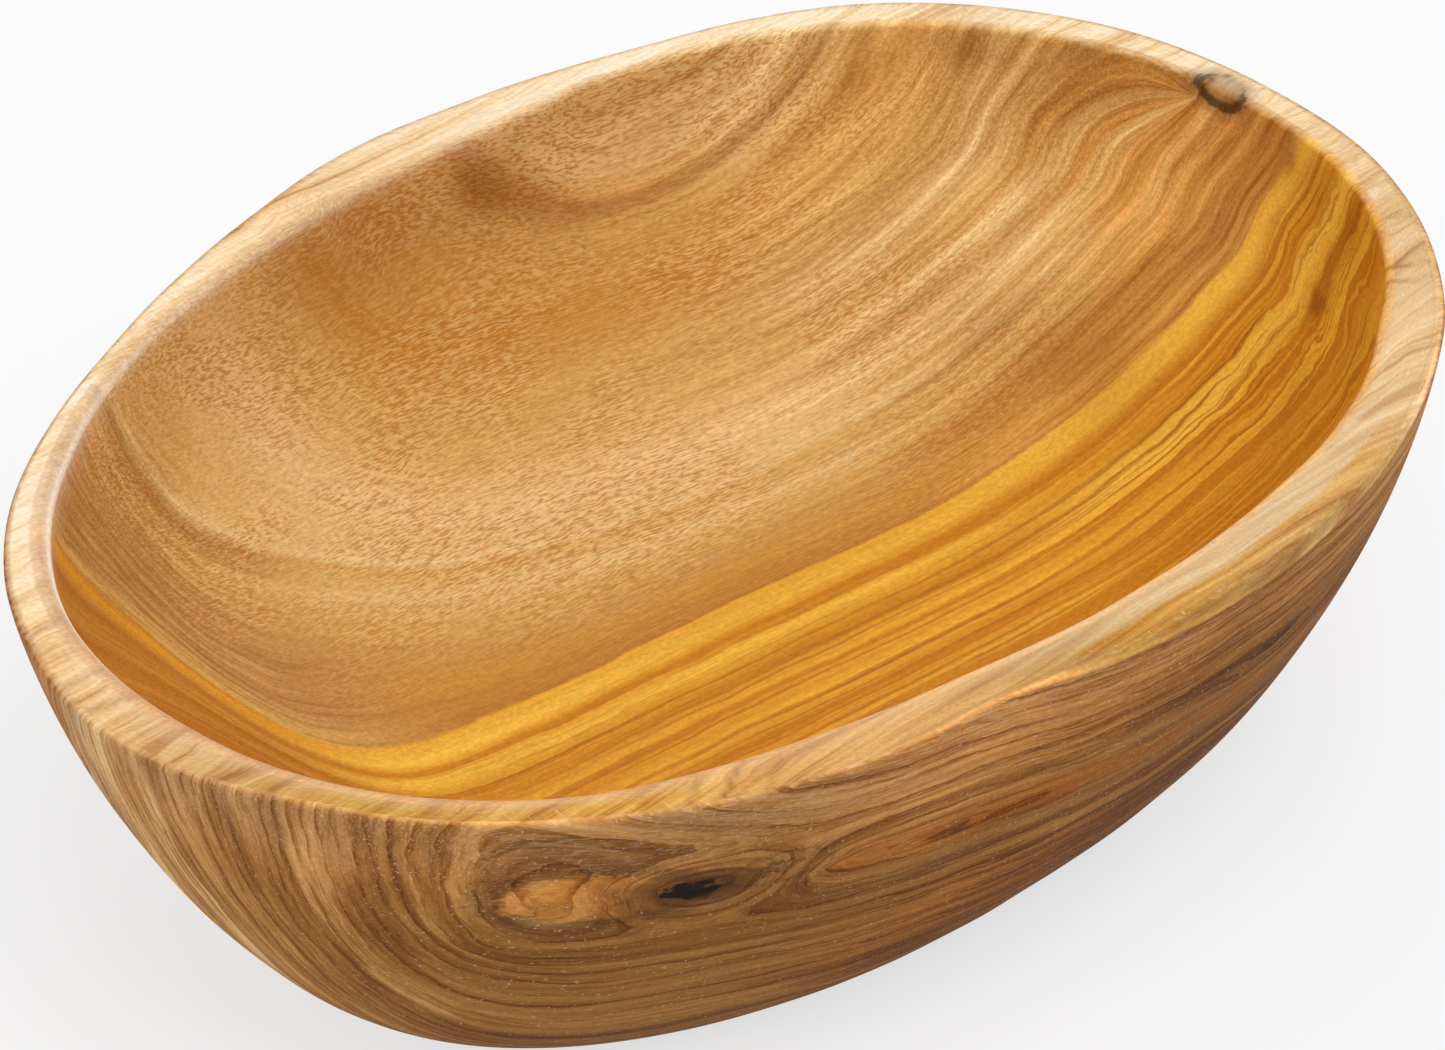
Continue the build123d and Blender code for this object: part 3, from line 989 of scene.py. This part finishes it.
# The mesh's layers as sockets, the noise that several woods share, and two vectors along the grain: wavy is
# (along, ring, height) with the rings' wander, and fibres is the same for the finest grain.
def readSkin(tree):
    at, look = {}, skinLook
    for name, parts in layerParts.items():
        at[name] = addNode(tree, "ShaderNodeAttribute", attribute_name=name).outputs["Vector"]
        at.update(zip(parts, addNode(tree, "ShaderNodeSeparateXYZ", {0: at[name]}).outputs))
    slow, small, ripple = (centred(tree, pattern(tree, at["grain"], name))
                           for name in ("slow", "small", "ripple"))
    wander = times(tree, slow, rescale(tree, at["outShare"], *look["slowWander"]))
    curly = times(tree, rescale(tree, at["along"], *look["curlyAlong"]),
                  rescale(tree, at["rawRing"], *look["curlyAcross"]),
                  rescale(tree, at["outShare"], *look["curlyOutside"]))
    wander = calc(tree, "MULTIPLY_ADD", small, calc(tree, "ADD", curly, look["smallWander"]), wander)
    ripple = calc(tree, "MULTIPLY_ADD", ripple, look["ripple"], times(tree, wander, look["fineWander"]))
    at["slow"] = slow
    at["ring"] = calc(tree, "ADD", wander, at["rawRing"])
    at["wavy"] = combine(tree, at["along"], at["ring"], at["height"])
    at["fibres"] = combine(tree, at["along"], calc(tree, "ADD", ripple, at["rawFine"]), at["height"])
    at["lines"], at["broad"] = (pattern(tree, at["wavy"], name) for name in ("lines", "broad"))
    at["uneven"] = centred(tree, pattern(tree, at["wavy"], "uneven"))
    return at


# Pale dust in the pores of the wall, more higher up, and specks of it on the golden rim.
def dustShare(tree, at):
    look = skinLook
    hair = rescale(tree, pattern(tree, at["fibres"], "hair"), *look["hair"])
    dust = times(tree, hair, rescale(tree, at["outShare"], *look["dustOutside"]),
                 rescale(tree, at["height"], *look["dustUp"]))
    specks = times(tree, rescale(tree, pattern(tree, at["grain"], "specks"), *look["specks"]),
                   rescale(tree, at["outShare"], *look["specksFrom"]), at["golden"], look["speckStrength"])
    return calc(tree, "MAXIMUM", dust, specks)


# The woods laid over each other from the inside out, then stains, the painted highlight on the inner edge,
# fibres, dust and knots, and a satin finish.
def woodMaterial():
    material = bpy.data.materials.new("carvedWood")
    material.use_nodes = True
    tree = material.node_tree
    look, at = skinLook, readSkin(tree)

    heartShare = rescale(tree, at["ring"], *look["heartFrom"])
    inside = mixColour(tree, heartShare, sapwood(tree, at), heartwood(tree, at))
    wallShare = rescale(tree, at["outShare"], *look["wallFrom"])
    colour = mixColour(tree, wallShare, inside, weatheredAndShaded(tree, at, inside))
    rimShare = calc(tree, "MULTIPLY_ADD", at["uneven"], look["rimRagged"], at["rimShare"])
    colour = mixColour(tree, rescale(tree, rimShare, *look["rimFrom"]), colour, rimWood(tree, at))
    # dark stains, then the painted highlight on the inner edge: its halo and its line
    for share, name in ((times(tree, at["stain"], look["stain"]), "stain"),
                        (times(tree, at["highlightHalo"], look["highlightHalo"]), "highlightHalo"), (at["highlightLine"], "edgeHighlight")):
        colour = mixColour(tree, share, colour, shade(*woodColours[name]))
    fibre, speckle = pattern(tree, at["fibres"], "fibre"), pattern(tree, at["grain"], "speckle")
    amount = times(tree, rescale(tree, fibre, *look["fibre"]), rescale(tree, speckle, *look["speckle"]))
    colour = brighten(tree, colour, amount)
    colour = mixColour(tree, dustShare(tree, at), colour, shade(*woodColours["dust"]))
    colour = knots(tree, at, colour)

    rough = calc(tree, "ADD", rescale(tree, fibre, *look["roughness"]),
                 rescale(tree, at["outShare"], *look["rougherOutside"]))
    relief = calc(tree, "MULTIPLY_ADD", at["lines"], 1 - look["fibreRelief"],
                  times(tree, fibre, look["fibreRelief"]))
    strength, deep = look["bump"]
    bump = addNode(tree, "ShaderNodeBump", {"Height": relief, "Strength": strength, "Distance": deep})
    fill(tree, tree.nodes["Principled BSDF"], {"Base Color": colour, "Roughness": rough,
                                               "Normal": bump.outputs[0],
                                               "Specular IOR Level": look["gloss"]})
    return material


print("carved bowl")
piece = makeBowl()
print("wood")
piece.data.materials.append(woodMaterial())

stage = {
    "floorHalf": 4.0,  # metres
    "floorColour": (225, 225, 225),
    "floorRoughness": 0.9,
    "floorGloss": 0.1,
    "floorLift": 0.7,  # how far the floor goes to plain white where it is seen directly
    "worldLight": 0.4,  # the world's strength as light, and where it is seen directly
    "worldSeen": 1.0,
}


# 1 for rays from the camera, or by way of a mirror or glass, and 0 for the light itself.
def seenDirectly(tree):
    rays = addNode(tree, "ShaderNodeLightPath").outputs
    direct = calc(tree, "MAXIMUM", rays["Is Camera Ray"], rays["Is Glossy Ray"])
    return calc(tree, "MAXIMUM", direct, rays["Is Transmission Ray"])


# A pale matt square that the bowl stands on.
def makeFloor():
    half = stage["floorHalf"]
    corners = [(-half, -half, 0), (half, -half, 0), (half, half, 0), (-half, half, 0)]
    mesh = bpy.data.meshes.new("floor")
    mesh.from_pydata(corners, [], [(0, 1, 2, 3)])
    floor = bpy.data.objects.new("floor", mesh)
    scene.collection.objects.link(floor)
    material = bpy.data.materials.new("paleFloor")
    material.use_nodes = True
    tree = material.node_tree
    matt = fill(tree, tree.nodes["Principled BSDF"],
                {"Base Color": shade(*stage["floorColour"]), "Roughness": stage["floorRoughness"],
                 "Specular IOR Level": stage["floorGloss"]})
    white = addNode(tree, "ShaderNodeEmission", {"Color": (1, 1, 1, 1), "Strength": 1.0})
    share = times(tree, seenDirectly(tree), stage["floorLift"])
    mixed = addNode(tree, "ShaderNodeMixShader", {0: share, 1: matt.outputs[0], 2: white.outputs[0]})
    fill(tree, tree.nodes["Material Output"], {"Surface": mixed.outputs[0]})
    mesh.materials.append(material)


# An even white world.
def makeWorld():
    world = bpy.data.worlds.new("studio")
    world.use_nodes = True
    tree = world.node_tree
    strength = rescale(tree, seenDirectly(tree), 0, 1, stage["worldLight"], stage["worldSeen"])
    fill(tree, tree.nodes["Background"], {"Color": (1, 1, 1, 1), "Strength": strength})
    scene.world = world


# White discs of light, in metres and watts, all turned to the bowl.
lamps = {
    "key": {"at": (0.0, -0.6, 1.35), "size": 1.3, "power": 16},
    "side": {"at": (-1.1, 0.5, 0.45), "size": 0.8, "power": 5},
    "back": {"at": (0.75, 0.95, 0.9), "size": 0.9, "power": 4},
    "glint": {"at": (1.2, 0.32, 0.22), "size": 0.22, "power": 2},
}


# Each lamp is turned to half the bowl's height.
def makeLamps():
    aim = Vector((0, 0, bowl["height"] / 2))
    for name, lamp in lamps.items():
        light = bpy.data.lights.new(name, "AREA")
        light.shape = "DISK"
        light.size = lamp["size"]
        light.energy = lamp["power"]
        holder = bpy.data.objects.new(name, light)
        holder.location = lamp["at"]
        holder.rotation_euler = (aim - Vector(lamp["at"])).to_track_quat("-Z", "Y").to_euler()
        scene.collection.objects.link(holder)


view = {
    "azimuth": -41.93, "elevation": 36.93, "roll": 1.125,  # degrees
    "distance": 0.919, "lens": 163.5, "sensor": 36,  # metres from the rim's middle, millimetres
    "aimRight": -0.0005, "aimUp": -0.0194,  # metres from the rim's middle, across the picture
}


# The camera stands back from its aim along its own axis, and is rolled about it.
def makeCamera():
    azimuth, elevation, roll = (math.radians(view[name]) for name in ("azimuth", "elevation", "roll"))
    back = Vector((math.sin(azimuth) * math.cos(elevation), -math.cos(azimuth) * math.cos(elevation),
                   math.sin(elevation)))
    right = Vector((math.cos(azimuth), math.sin(azimuth), 0))
    up = back.cross(right)
    rolledRight = right * math.cos(roll) - up * math.sin(roll)
    rolledUp = right * math.sin(roll) + up * math.cos(roll)
    aim = Vector((0, 0, bowl["height"])) + rolledRight * view["aimRight"] + rolledUp * view["aimUp"]
    data = bpy.data.cameras.new("camera")
    data.lens = view["lens"]
    data.sensor_width = view["sensor"]
    camera = bpy.data.objects.new("camera", data)
    turn = Matrix((rolledRight, rolledUp, back)).transposed().to_4x4()
    camera.matrix_world = Matrix.Translation(aim + back * view["distance"]) @ turn
    scene.collection.objects.link(camera)
    scene.camera = camera


print("floor and light")
makeFloor()
makeLamps()
makeWorld()
print("camera")
makeCamera()
scene.view_settings.view_transform = "Standard"

print("done")
